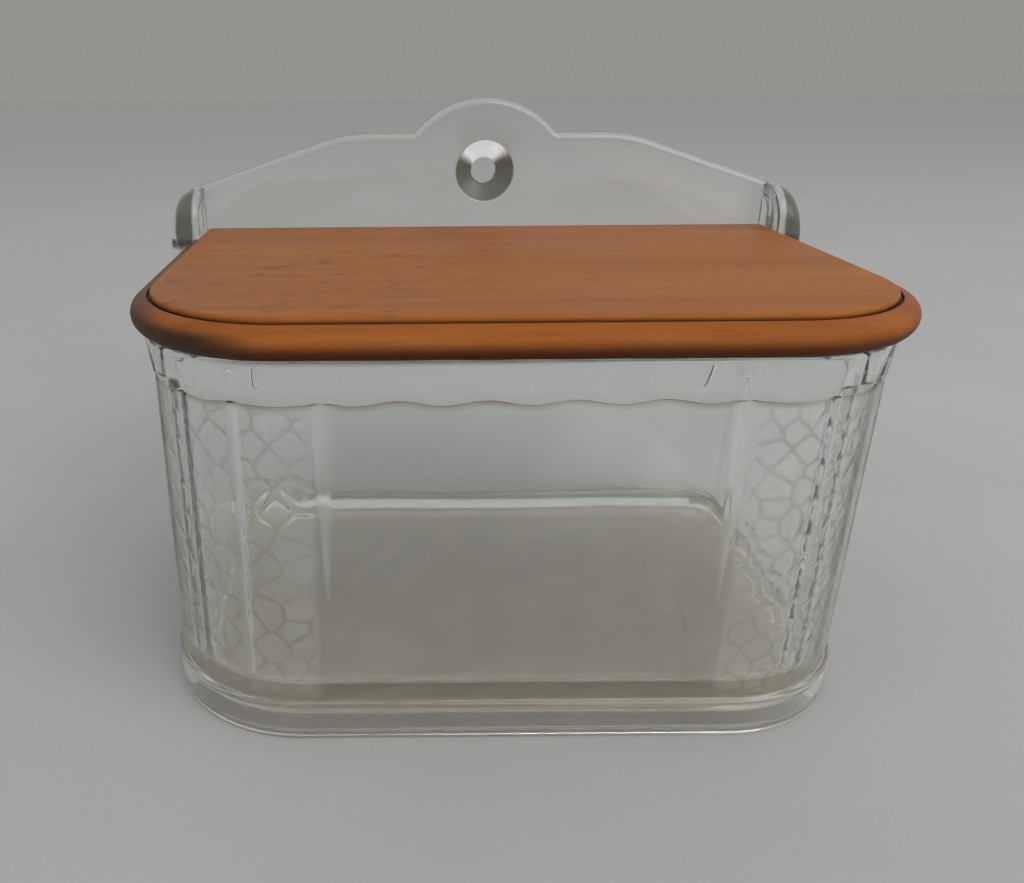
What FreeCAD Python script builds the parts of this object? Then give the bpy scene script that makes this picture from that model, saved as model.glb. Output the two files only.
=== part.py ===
import FreeCAD, Part
import math
import os

# Wall-hung salt pot: a pressed-glass box with a crested back plate, and a hinged wooden lid.
# Millimetres. +X to the right, +Y towards the wall, +Z up.
# The origin is at the middle of the bottom of the pot's bounding box.

Vector = FreeCAD.Vector
TINY = 1e-4

# Glass pot: the box
POT_WIDTH = 168.5
POT_DEPTH = 115.0
RIM_HEIGHT = 94.0
WALL = 4.5
WALL_DRAFT = 0.6
FLOOR_THICK = 12.0
FRONT_CORNER_R = 34.0
REAR_CORNER_R = 13.0
CHAMBER_REAR_R = 10.0
CHAMBER_FLOOR_R = 2.0
RIM_BEVEL = 0.9

# Glass pot: the plinth, its hollow foot and the flared collar under the lid
PLINTH_HEIGHT = 10.0
PLINTH_PROUD = 1.4
PLINTH_BEVEL = 0.9
FOOT_WIDTH = 6.2
FOOT_REAR_WIDTH = 12.0
FOOT_RECESS = 4.8
COLLAR_HEIGHT = 9.4
COLLAR_LEDGE = 0.7
COLLAR_FLARE = 1.7

# Glass pot: the ribs that divide the rounded corners, and the flutes that frame the plain front
RIB_COUNT = 4
RIB_FIRST_DEG = 21.0
RIB_STEP_DEG = 22.5
RIB_R = 1.6
RIB_PROUD = 0.6
FLUTE_FROM_CORNER = 6.75
FLUTE_R = 5.0
FLUTE_DEPTH = 0.5
FLUTE_DEPTH_LOW = 0.12

# Glass pot: the back plate, its crest and the hanging hole
PLATE_THICK = 6.0
PLATE_EDGE_R = 1.6
PLATE_REAR_BEVEL = 0.6
CREST_RISE = 44.5
CREST_LOBE_R = 27.3
CREST_LOBE_RISE = 9.7
CREST_DIP_R = 2.0
SHOULDER_BREAK = 42.0
SHOULDER_BREAK_R = 45.0
SHOULDER_FALL_DEG = 18.3
HOLE_BELOW_CREST = 20.5
HOLE_R = 3.75
HOLE_MOUTH_R = 8.3
HOLE_FUNNEL = 3.5

# Glass pot: the ears that carry the lid
EAR_THICK = 9.5
EAR_GAP = 1.5
EAR_REACH = 12.3
EAR_FRONT_R = 9.5
EAR_FOOT_R = 6.0
EAR_CORNER_R = 9.0
EAR_EDGE_R = 1.2
EAR_BELOW_PIVOT = 6.5
CORBEL_DROP = 10.0
WING_DROP = 5.0
WING_FALL = 30.0
WING_INSIDE = 8.0
WING_CORNER_R = 7.0

# Wooden lid
LID_THICK = 8.5
LID_SIDE_OVERHANG = 1.7
LID_FRONT_OVERHANG = 3.4
LID_SEAT_GAP = 0.3
LID_REAR_GAP = 2.0
LID_CORNER_R = 36.5
LID_STEP = 1.2
LID_EDGE = 4.6
LID_PANEL_BEVEL = 0.3
NOSE_FLAT = 0.15
QUIRK_WIDTH = 0.8
QUIRK_DEPTH = 0.6
NOTCH_CLEARANCE = 0.6
NOTCH_CORNER_R = 3.0

# Steel hinge pins, fast in the lid and running in the ears
PIN_R = 1.5
PIN_RUNNING_GAP = 0.06
PIN_IN_LID = 14.0
PIN_RECESS = 0.6
PIN_CHAMFER = 0.3

# Places that follow from the sizes
TOTAL_DEPTH = POT_DEPTH + COLLAR_FLARE + LID_FRONT_OVERHANG
BACK_Y = TOTAL_DEPTH / 2
PLATE_Y = BACK_Y - PLATE_THICK
WALL_FRONT_Y = BACK_Y - POT_DEPTH
POT_HALF = POT_WIDTH / 2
COLLAR_Z = RIM_HEIGHT - COLLAR_HEIGHT
FLUTE_X = POT_HALF - FRONT_CORNER_R - FLUTE_FROM_CORNER
CREST_HEIGHT = RIM_HEIGHT + CREST_RISE
SHOULDER_HEIGHT = CREST_HEIGHT - CREST_LOBE_RISE
HOLE_HEIGHT = CREST_HEIGHT - HOLE_BELOW_CREST
LID_HALF = POT_HALF + COLLAR_FLARE + LID_SIDE_OVERHANG
LID_FRONT_Y = WALL_FRONT_Y - COLLAR_FLARE - LID_FRONT_OVERHANG
LID_BOTTOM = RIM_HEIGHT + LID_SEAT_GAP
LID_TOP = LID_BOTTOM + LID_THICK
BOARD_TOP = LID_TOP - LID_STEP
NOSE_R = (BOARD_TOP - LID_BOTTOM - NOSE_FLAT) / 2
PIVOT_Y = PLATE_Y - LID_REAR_GAP - LID_THICK / 2
PIVOT_Z = LID_BOTTOM + LID_THICK / 2
PANEL_HALF = LID_HALF - LID_EDGE
EAR_INNER = PANEL_HALF + EAR_GAP
EAR_OUTER = EAR_INNER + EAR_THICK
SHOULDER_SLOPE = math.tan(math.radians(SHOULDER_FALL_DEG))
EAR_TOP = SHOULDER_HEIGHT - SHOULDER_SLOPE * (EAR_INNER - SHOULDER_BREAK)
EAR_SWEEP = math.hypot(PLATE_Y - PIVOT_Y, EAR_TOP - PIVOT_Z)
NOTCH_Y = PIVOT_Y - EAR_SWEEP - NOTCH_CLEARANCE


def rounded_wire(corners):
    """Closed wire through (point, radius) corners, each corner rounded by a tangent arc."""
    ends = []
    arcs = []
    for index, (point, radius) in enumerate(corners):
        before = (corners[index - 1][0] - point).normalize()
        after = (corners[(index + 1) % len(corners)][0] - point).normalize()
        half_angle = before.getAngle(after) / 2
        reach = radius / math.tan(half_angle)
        start = point + before * reach
        end = point + after * reach
        ends.append((start, end))
        if radius > 0:
            inward = (before + after).normalize()
            middle = point + inward * (radius / math.sin(half_angle) - radius)
            arcs.append(Part.Arc(start, middle, end).toShape())
        else:
            arcs.append(None)
    edges = []
    for index, arc in enumerate(arcs):
        if arc is not None:
            edges.append(arc)
        leave = ends[index][1]
        arrive = ends[(index + 1) % len(ends)][0]
        if (arrive - leave).Length > TINY:
            edges.append(Part.makeLine(leave, arrive))
    return Part.Wire(edges)


def prism(wire, travel):
    """Solid swept by the flat area inside a wire along the vector travel."""
    return Part.Face(wire).extrude(travel)


def both_sides(shape):
    """The shape and its mirror image in the plane X = 0."""
    return [shape, shape.mirror(Vector(0, 0, 0), Vector(1, 0, 0))]


def pot_plan(height, grow, back_y, rear_r):
    """Plan outline of the pot at a height, grown outwards by grow on its front and sides."""
    half = POT_HALF + grow
    front_y = WALL_FRONT_Y - grow
    front_r = FRONT_CORNER_R + grow
    return rounded_wire([
        (Vector(-half, front_y, height), front_r),
        (Vector(half, front_y, height), front_r),
        (Vector(half, back_y, height), rear_r),
        (Vector(-half, back_y, height), rear_r),
    ])


def flat_edges_at(shape, height):
    """Edges of a shape that lie wholly at one height."""
    found = []
    for edge in shape.Edges:
        box = edge.BoundBox
        if abs(box.ZMin - height) < TINY and abs(box.ZMax - height) < TINY:
            found.append(edge)
    return found


def make_chamber():
    """Hollow of the pot: an upright part with a rounded floor edge, and drafted walls above it."""
    upright = 2 * CHAMBER_FLOOR_R
    floor_plan = pot_plan(FLOOR_THICK, -WALL - WALL_DRAFT, PLATE_Y, CHAMBER_REAR_R)
    floor_part = prism(floor_plan, Vector(0, 0, upright))
    floor_part = floor_part.makeFillet(CHAMBER_FLOOR_R, flat_edges_at(floor_part, FLOOR_THICK))
    low = pot_plan(FLOOR_THICK + upright, -WALL - WALL_DRAFT, PLATE_Y, CHAMBER_REAR_R)
    high = pot_plan(RIM_HEIGHT, -WALL, PLATE_Y, CHAMBER_REAR_R)
    return Part.makeLoft([low, high], True, True).fuse(floor_part)


def make_box():
    """Walls, floor, plinth with its hollow foot, and flared collar."""
    walls = prism(pot_plan(0, 0, BACK_Y, REAR_CORNER_R), Vector(0, 0, COLLAR_Z + COLLAR_HEIGHT / 2))
    plinth = prism(pot_plan(0, PLINTH_PROUD, BACK_Y, REAR_CORNER_R), Vector(0, 0, PLINTH_HEIGHT))
    plinth = plinth.makeChamfer(PLINTH_BEVEL, flat_edges_at(plinth, PLINTH_HEIGHT))
    collar_low = pot_plan(COLLAR_Z, COLLAR_LEDGE, BACK_Y, REAR_CORNER_R)
    collar_high = pot_plan(RIM_HEIGHT, COLLAR_FLARE, BACK_Y, REAR_CORNER_R)
    collar = Part.makeLoft([collar_low, collar_high], True, True)
    box = walls.fuse([plinth, collar]).cut(make_chamber())
    box = box.makeChamfer(RIM_BEVEL, flat_edges_at(box, RIM_HEIGHT))
    foot_y = BACK_Y - FOOT_REAR_WIDTH
    foot = prism(pot_plan(0, PLINTH_PROUD - FOOT_WIDTH, foot_y, CHAMBER_REAR_R), Vector(0, 0, FOOT_RECESS))
    return box.cut(foot)


def make_ribs():
    """Upright half-round ribs on both rounded front corners."""
    ribs = []
    spread = FRONT_CORNER_R + RIB_PROUD - RIB_R
    low = PLINTH_HEIGHT / 2
    height = COLLAR_Z + COLLAR_HEIGHT / 2 - low
    for index in range(RIB_COUNT):
        turn = math.radians(RIB_FIRST_DEG + index * RIB_STEP_DEG)
        rib_x = POT_HALF - FRONT_CORNER_R + spread * math.sin(turn)
        rib_y = WALL_FRONT_Y + FRONT_CORNER_R - spread * math.cos(turn)
        ribs += both_sides(Part.makeCylinder(RIB_R, height, Vector(rib_x, rib_y, low)))
    return ribs


def make_flutes():
    """Cutters for the two long flutes beside the plain front, deeper towards the collar."""
    axis_y = WALL_FRONT_Y - FLUTE_R + FLUTE_DEPTH
    low_r = FLUTE_R - FLUTE_DEPTH + FLUTE_DEPTH_LOW
    height = COLLAR_Z - PLINTH_HEIGHT
    foot = Vector(FLUTE_X, axis_y, PLINTH_HEIGHT)
    return both_sides(Part.makeCone(low_r, FLUTE_R, height, foot))


def crest_wire(plane_y):
    """Outline of the back plate seen from the front: crest, shoulders, ears' ends and wings."""
    lobe_z = CREST_HEIGHT - CREST_LOBE_R
    dip_x = math.sqrt(CREST_LOBE_R ** 2 - (SHOULDER_HEIGHT - lobe_z) ** 2)
    end_z = SHOULDER_HEIGHT - SHOULDER_SLOPE * (EAR_OUTER - SHOULDER_BREAK)
    wing_z = PIVOT_Z - EAR_BELOW_PIVOT - WING_DROP
    inside_x = POT_HALF - WING_INSIDE
    shoulders = rounded_wire([
        (Vector(-dip_x, plane_y, SHOULDER_HEIGHT), 0),
        (Vector(-SHOULDER_BREAK, plane_y, SHOULDER_HEIGHT), SHOULDER_BREAK_R),
        (Vector(-EAR_OUTER, plane_y, end_z), EAR_CORNER_R),
        (Vector(-EAR_OUTER, plane_y, wing_z), WING_CORNER_R),
        (Vector(-inside_x, plane_y, wing_z - WING_FALL), 0),
        (Vector(inside_x, plane_y, wing_z - WING_FALL), 0),
        (Vector(EAR_OUTER, plane_y, wing_z), WING_CORNER_R),
        (Vector(EAR_OUTER, plane_y, end_z), EAR_CORNER_R),
        (Vector(SHOULDER_BREAK, plane_y, SHOULDER_HEIGHT), SHOULDER_BREAK_R),
        (Vector(dip_x, plane_y, SHOULDER_HEIGHT), 0),
    ])
    left = Vector(-dip_x, plane_y, SHOULDER_HEIGHT)
    right = Vector(dip_x, plane_y, SHOULDER_HEIGHT)
    lobe = Part.Arc(left, Vector(0, plane_y, CREST_HEIGHT), right).toShape()
    return Part.Wire(shoulders.Edges[:-1] + [lobe])


def make_plate():
    """Back plate, rounded along the front of its crest and bevelled along the rear."""
    plate = prism(crest_wire(PLATE_Y), Vector(0, PLATE_THICK, 0))
    dips = []
    for edge in plate.Edges:
        box = edge.BoundBox
        level = abs(box.ZMin - SHOULDER_HEIGHT) < TINY and abs(box.ZMax - SHOULDER_HEIGHT) < TINY
        if level and box.XLength < TINY:
            dips.append(edge)
    plate = plate.makeFillet(CREST_DIP_R, dips)
    front = []
    rear = []
    for edge in plate.Edges:
        box = edge.BoundBox
        if box.YLength < TINY and box.ZMax > RIM_HEIGHT:
            if box.YMin < PLATE_Y + TINY:
                front.append(edge)
            else:
                rear.append(edge)
    return plate.makeFillet(PLATE_EDGE_R, front).makeChamfer(PLATE_REAR_BEVEL, rear)


def make_ear():
    """Right ear: a rounded lug in front of the plate's end, carried on a corbel below the rim."""
    inside_x = POT_HALF - WALL / 2
    foot_z = PIVOT_Z - EAR_BELOW_PIVOT
    crown_z = EAR_TOP + PLATE_EDGE_R
    plate_middle_y = BACK_Y - PLATE_THICK / 2
    profile = rounded_wire([
        (Vector(inside_x, plate_middle_y, crown_z), 0),
        (Vector(inside_x, PLATE_Y - EAR_REACH, crown_z), EAR_FRONT_R),
        (Vector(inside_x, PLATE_Y - EAR_REACH, foot_z), EAR_FOOT_R),
        (Vector(inside_x, plate_middle_y, foot_z - CORBEL_DROP), 0),
    ])
    lug = prism(profile, Vector(EAR_OUTER - inside_x, 0, 0))
    lug = lug.common(prism(crest_wire(PLATE_Y - EAR_REACH), Vector(0, EAR_REACH + PLATE_THICK, 0)))
    lid_room = Part.makeBox(EAR_INNER, TOTAL_DEPTH, CREST_HEIGHT, Vector(0, -TOTAL_DEPTH / 2, RIM_HEIGHT))
    lug = lug.cut(lid_room)
    outer = [edge for edge in lug.Edges if edge.BoundBox.XMin > EAR_OUTER - TINY]
    inner = []
    for edge in lug.Edges:
        box = edge.BoundBox
        on_face = abs(box.XMin - EAR_INNER) < TINY and abs(box.XMax - EAR_INNER) < TINY
        if on_face and box.ZMax > RIM_HEIGHT + TINY:
            inner.append(edge)
    return lug.makeFillet(EAR_EDGE_R, outer + inner)


def make_glass_pot():
    """The whole pressed-glass pot as one solid."""
    pot = make_box().fuse(make_ribs() + [make_plate()] + both_sides(make_ear()))
    hole = Part.makeCylinder(HOLE_R, PLATE_THICK, Vector(0, PLATE_Y, HOLE_HEIGHT), Vector(0, 1, 0))
    mouth_at = Vector(0, PLATE_Y, HOLE_HEIGHT)
    mouth = Part.makeCone(HOLE_MOUTH_R, HOLE_R, HOLE_FUNNEL, mouth_at, Vector(0, 1, 0))
    pin_bore = Part.makeCylinder(PIN_R + PIN_RUNNING_GAP, EAR_THICK, pin_place(EAR_INNER), Vector(1, 0, 0))
    return pot.cut([hole, mouth] + make_flutes() + both_sides(pin_bore)).removeSplitter()


def pin_place(across):
    """Point on the lid's hinge axis."""
    return Vector(across, PIVOT_Y, PIVOT_Z)


def lid_plan(height, inset):
    """Plan outline of the lid, drawn in by inset on its front and sides, with its rear on the pivot."""
    half = LID_HALF - inset
    front_y = LID_FRONT_Y + inset
    return rounded_wire([
        (Vector(-half, front_y, height), LID_CORNER_R - inset),
        (Vector(half, front_y, height), LID_CORNER_R - inset),
        (Vector(half, PIVOT_Y, height), 0),
        (Vector(-half, PIVOT_Y, height), 0),
    ])


def front_edges_at(shape, height):
    """Edges of the lid's front and sides that lie at one height."""
    return [edge for edge in flat_edges_at(shape, height) if edge.BoundBox.YMin < PIVOT_Y - TINY]


def make_notch():
    """Cutter that clears the right ear as the lid swings up."""
    width = LID_HALF - PANEL_HALF
    outline = rounded_wire([
        (Vector(PANEL_HALF, NOTCH_Y, LID_BOTTOM), NOTCH_CORNER_R),
        (Vector(PANEL_HALF + 2 * width, NOTCH_Y, LID_BOTTOM), 0),
        (Vector(PANEL_HALF + 2 * width, BACK_Y, LID_BOTTOM), 0),
        (Vector(PANEL_HALF, BACK_Y, LID_BOTTOM), 0),
    ])
    return prism(outline, Vector(0, 0, LID_THICK))


def make_lid_board():
    """Wooden lid: round-nosed board, raised panel inside a quirk, and a half-round rear edge."""
    board = prism(lid_plan(LID_BOTTOM, 0), Vector(0, 0, BOARD_TOP - LID_BOTTOM))
    nose = front_edges_at(board, LID_BOTTOM) + front_edges_at(board, BOARD_TOP)
    board = board.makeFillet(NOSE_R, nose)
    quirk_low = BOARD_TOP - QUIRK_DEPTH
    quirk = prism(lid_plan(quirk_low, LID_EDGE - QUIRK_WIDTH), Vector(0, 0, QUIRK_DEPTH))
    panel = prism(lid_plan(quirk_low, LID_EDGE), Vector(0, 0, LID_TOP - quirk_low))
    panel = panel.makeChamfer(LID_PANEL_BEVEL, front_edges_at(panel, LID_TOP))
    rear = Part.makeCylinder(LID_THICK / 2, 2 * PANEL_HALF, pin_place(-PANEL_HALF), Vector(1, 0, 0))
    lid = board.cut([quirk] + both_sides(make_notch())).fuse([panel, rear])
    socket = Part.makeCylinder(PIN_R, PIN_IN_LID, pin_place(PANEL_HALF - PIN_IN_LID), Vector(1, 0, 0))
    return lid.cut(both_sides(socket)).removeSplitter()


def make_pin():
    """Right hinge pin, with chamfered ends."""
    start = pin_place(PANEL_HALF - PIN_IN_LID)
    length = PIN_IN_LID + EAR_GAP + EAR_THICK - PIN_RECESS
    pin = Part.makeCylinder(PIN_R, length, start, Vector(1, 0, 0))
    ends = [edge for edge in pin.Edges if edge.BoundBox.XLength < TINY]
    return pin.makeChamfer(PIN_CHAMFER, ends)


def single_solid(shape):
    """The one solid that a finished piece consists of."""
    if len(shape.Solids) != 1:
        raise ValueError("a piece has %d solids" % len(shape.Solids))
    return shape.Solids[0]


def main():
    pin_right, pin_left = both_sides(make_pin())
    pieces = {
        "glass_pot": make_glass_pot(),
        "lid_board": make_lid_board(),
        "hinge_pin_left": pin_left,
        "hinge_pin_right": pin_right,
    }
    os.makedirs("parts", exist_ok=True)
    for name, shape in pieces.items():
        single_solid(shape).exportStep("parts/%s.step" % name)


main()
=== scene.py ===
import math
import random

import bmesh
import bpy
import numpy as np
from mathutils import Euler, Matrix, Vector, noise


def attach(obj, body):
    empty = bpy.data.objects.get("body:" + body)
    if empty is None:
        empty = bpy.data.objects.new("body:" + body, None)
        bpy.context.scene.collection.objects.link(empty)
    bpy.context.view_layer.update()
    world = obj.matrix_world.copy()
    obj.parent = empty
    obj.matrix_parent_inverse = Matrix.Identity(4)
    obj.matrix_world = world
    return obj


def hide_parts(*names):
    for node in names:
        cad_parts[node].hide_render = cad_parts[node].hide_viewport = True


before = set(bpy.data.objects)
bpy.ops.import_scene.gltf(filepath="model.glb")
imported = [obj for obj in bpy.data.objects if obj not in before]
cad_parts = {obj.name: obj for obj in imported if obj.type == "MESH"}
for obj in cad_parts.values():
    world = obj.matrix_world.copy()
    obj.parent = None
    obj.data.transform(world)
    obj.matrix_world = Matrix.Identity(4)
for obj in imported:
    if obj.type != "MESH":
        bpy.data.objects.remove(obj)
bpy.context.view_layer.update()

# Salt pot: pressed glass with a hinged wooden lid. Shapes are drawn in millimetres and scaled to metres
# when a piece is finished. +X is to the right, +Y towards the wall, +Z up.
MM = 0.001

# Glass pot, as in the solids
POT_HALF = 84.25
FRONT_Y = -54.95
BACK_Y = 60.05
PLATE_Y = 54.05
FRONT_R = 34.0
REAR_R = 13.0
WALL = 4.5
WALL_DRAFT = 0.6
CHAMBER_REAR_R = 10.0
FLOOR_Z = 12.0
FLOOR_R = 2.0
RIM_Z = 94.0
PLINTH_Z = 10.0
PLINTH_PROUD = 1.4
FOOT_WIDTH = 6.2
FOOT_REAR = 12.0
FOOT_RECESS = 4.8
COLLAR_Z = 84.6
COLLAR_LEDGE = 0.7
COLLAR_FLARE = 1.7
RIB_ANGLES = (21.0, 43.5, 66.0, 88.5)
RIB_HALF = 1.3
RIB_PROUD = 0.62
FLUTE_X = 43.5

# Pressed relief of the flutes and the rounded corners
FLUTE_R = 5.0
FLUTE_HALF = 2.6
FLUTE_END = 0.3
LEFT_CELLS = (9.5, 5.0)
RIGHT_CELLS = (7.2, 4.5)
CELL_JITTER = 0.27
CELL_DOME = 0.05
SEAM_PROUD = 0.17
SEAM_HALF = 0.6
SEAM_REACH = 2.0
SCALLOP_PITCH = 18.2
SCALLOP_DEPTH = 0.55
SWAG_DEPTH = 0.8
DUST_BACK_Y = 36.0

# Back plate and ears
CREST_Z = 138.5
LOBE_R = 27.3
DIP_R = 2.0
SHOULDER_Z = 128.8
SHOULDER_X = 42.0
SHOULDER_R = 45.0
SHOULDER_FALL = math.radians(18.3)
EAR_INNER = 84.55
EAR_OUTER = 94.05
EAR_FRONT_Y = 41.75
EAR_FRONT_R = 9.5
EAR_FOOT_Z = 92.05
EAR_FOOT_R = 6.0
EAR_CORNER_R = 9.0
EAR_EDGE_R = 2.4
EAR_OUTER_R = 4.2
CORBEL_Z = 82.05
WING_Z = 87.05
WING_R = 7.0
WING_LOW = (76.25, 57.05)
PLATE_EDGE_R = 1.6
PLATE_BEVEL = 0.6
PLATE_SINK = 0.02
HOLE_Z = 118.0
PIVOT_Y = 47.8
PIVOT_Z = 98.55
PIN_BORE_R = 1.56

# Wooden lid
LID_HALF = 87.65
LID_FRONT_Y = -60.05
LID_REAR_Y = 47.8
LID_CORNER_R = 36.5
LID_LOW = 94.3
LID_TOP = 102.8
BOARD_TOP = 101.6
NOSE_R = 3.575
REAR_R_LID = 4.25
PANEL_INSET = 4.6
NOTCH_X = 83.0
NOTCH_Y = 30.2
NOTCH_R = 3.0


# Drawing tools


def plan(half, front_y, front_r, back_y, rear_r, counts):
    """Points, outward normals and run along a rounded box outline, from the front middle round to it again."""
    front, corner, side, rear, back = counts
    points = []
    for x in front:
        points.append((x, front_y, 0.0, -1.0, x))
    straight = half - front_r
    for step in range(1, corner + 1):
        turn = math.pi / 2 * step / corner
        sin, cos = math.sin(turn), math.cos(turn)
        points.append((straight + front_r * sin, front_y + front_r - front_r * cos, sin, -cos,
                       straight + FRONT_R * turn))
    run = straight + FRONT_R * math.pi / 2
    start = front_y + front_r
    length = back_y - rear_r - start
    for step in range(1, side + 1):
        points.append((half, start + length * step / side, 1.0, 0.0, run + length * step / side))
    run += length
    for step in range(1, rear + 1):
        turn = math.pi / 2 * step / rear
        sin, cos = math.sin(turn), math.cos(turn)
        points.append((half - rear_r + rear_r * cos, back_y - rear_r + rear_r * sin, cos, sin, run + 1.0))
    for step in range(1, back + 1):
        points.append(((half - rear_r) * (1 - step / back), back_y, 0.0, 1.0, run + 2.0))
    right = np.array(points)
    left = right[1:-1][::-1] * np.array((-1.0, 1.0, -1.0, 1.0, -1.0))
    return np.vstack((right, left))


def start_ring(bm, places):
    """A closed loop of vertices at the given places."""
    ring = bmesh.ops.create_circle(bm, cap_ends=False, segments=len(places), radius=1.0)["verts"]
    for vert, place in zip(ring, places):
        vert.co = place
    return ring


def lift(bm, ring, places, closed=True):
    """Extrudes a loop or chain of vertices to new places and returns the new one."""
    follow = ring[1:] + ring[:1] if closed else ring[1:]
    edges = [bm.edges.get((a, b)) for a, b in zip(ring, follow)]
    geometry = bmesh.ops.extrude_edge_only(bm, edges=edges)["geom"]
    fresh = {item for item in geometry if isinstance(item, bmesh.types.BMVert)}
    grown = []
    for vert, place in zip(ring, places):
        new = next(edge.other_vert(vert) for edge in vert.link_edges if edge.other_vert(vert) in fresh)
        new.co = place
        grown.append(new)
    return grown


def cap(bm, ring):
    """Closes a loop with one face."""
    bmesh.ops.contextual_create(bm, geom=[bm.edges.get((a, b)) for a, b in zip(ring, ring[1:] + ring[:1])])


def loft(rings):
    """A closed skin through a list of loops, capped at both ends."""
    bm = bmesh.new()
    ring = start_ring(bm, rings[0])
    cap(bm, ring)
    for places in rings[1:]:
        ring = lift(bm, ring, places)
    cap(bm, ring)
    bmesh.ops.recalc_face_normals(bm, faces=bm.faces)
    return bm


def as_object(name, bm):
    """A mesh object from a bmesh."""
    mesh = bpy.data.meshes.new(name)
    bm.to_mesh(mesh)
    bm.free()
    obj = bpy.data.objects.new(name, mesh)
    bpy.context.scene.collection.objects.link(obj)
    return obj


def carve(base, tools, operation):
    """Joins tools to a mesh object or cuts them from it, and removes the tools."""
    for tool in tools:
        step = base.modifiers.new("carve", "BOOLEAN")
        step.operation = operation
        step.solver = "EXACT"
        step.object = tool
    graph = bpy.context.evaluated_depsgraph_get()
    carved = bpy.data.meshes.new_from_object(base.evaluated_get(graph))
    base.modifiers.clear()
    old = base.data
    base.data = carved
    bpy.data.meshes.remove(old)
    for tool in tools:
        mesh = tool.data
        bpy.data.objects.remove(tool)
        bpy.data.meshes.remove(mesh)


def finish_piece(obj, name, material, body, node, sharp):
    """Scales a piece from millimetres, shades it, and sets it on its body in place of a node."""
    bm = bmesh.new()
    bm.from_mesh(obj.data)
    bmesh.ops.remove_doubles(bm, verts=bm.verts, dist=0.0005)
    bmesh.ops.dissolve_degenerate(bm, edges=bm.edges, dist=0.0005)
    bmesh.ops.scale(bm, vec=(MM, MM, MM), verts=bm.verts)
    bmesh.ops.recalc_face_normals(bm, faces=bm.faces)
    for face in bm.faces:
        face.smooth = True
    bm.to_mesh(obj.data)
    bm.free()
    obj.data.set_sharp_from_angle(angle=math.radians(sharp))
    obj.name = name
    obj.data.name = name
    obj.data.materials.clear()
    obj.data.materials.append(material)
    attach(obj, body)
    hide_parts(node)


def ramp(value, low, high):
    """Smooth step from 0 at low to 1 at high."""
    t = np.clip((value - low) / (high - low), 0.0, 1.0)
    return t * t * (3 - 2 * t)


# Glass pot


def front_stations():
    """Places across half of the straight front, closer together at the flute."""
    straight = POT_HALF - FRONT_R
    plain = np.linspace(0.0, FLUTE_X - 3.2, 27)
    flute = np.linspace(FLUTE_X - 3.2, FLUTE_X + 3.2, 18)[1:]
    rest = np.linspace(FLUTE_X + 3.2, straight, 9)[1:]
    return np.concatenate((plain, flute, rest))


POT_COUNTS = (front_stations(), 104, 18, 14, 12)
WALL_RINGS = 112


def crackle(run, height, cells, seed):
    """Distance to the nearest seam between irregular cells, in millimetres."""
    draw = random.Random(seed)
    seeds = []
    for row in range(-1, 19):
        for column in range(-1, 10):
            shift = 0.5 * (row % 2)
            across = FLUTE_X + (column + shift + draw.uniform(-CELL_JITTER, CELL_JITTER)) * cells[0]
            up = PLINTH_Z + (row + draw.uniform(-CELL_JITTER, CELL_JITTER)) * cells[1]
            seeds.append((across, up))
    seeds = np.array(seeds)
    gap = np.hypot(run[:, None] - seeds[None, :, 0], height[:, None] - seeds[None, :, 1])
    order = np.argsort(gap, axis=1)[:, :2]
    rows = np.arange(len(run))
    near, next_near = gap[rows, order[:, 0]], gap[rows, order[:, 1]]
    apart = np.hypot(*(seeds[order[:, 0]] - seeds[order[:, 1]]).T)
    return (next_near ** 2 - near ** 2) / (2 * apart)


def collar_edge(run):
    """Height of the scalloped lower edge of the collar, and how far its ledge stands out."""
    away = np.abs(run)
    wave = -SCALLOP_DEPTH * np.cos(2 * math.pi * (run + 0.5) / SCALLOP_PITCH)
    ribs = [FLUTE_X] + [POT_HALF - FRONT_R + FRONT_R * math.radians(angle) for angle in RIB_ANGLES]
    swag = np.zeros_like(run)
    ledge = np.ones_like(run)
    for low, high in zip(ribs, ribs[1:]):
        inside = (away >= low) & (away <= high)
        swag[inside] = 0.25 - SWAG_DEPTH * np.sin(math.pi * (away[inside] - low) / (high - low))
    for rib in ribs:
        ledge -= 0.75 * np.exp(-((away - rib) / 1.5) ** 2)
    fade = ramp(away, FLUTE_X - 4, FLUTE_X)
    calm = 1 - ramp(away, ribs[-1] + 2, ribs[-1] + 12)
    return COLLAR_Z + (wave * (1 - fade) + swag * fade) * calm, COLLAR_LEDGE * np.clip(ledge, 0.1, 1.0)


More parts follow.
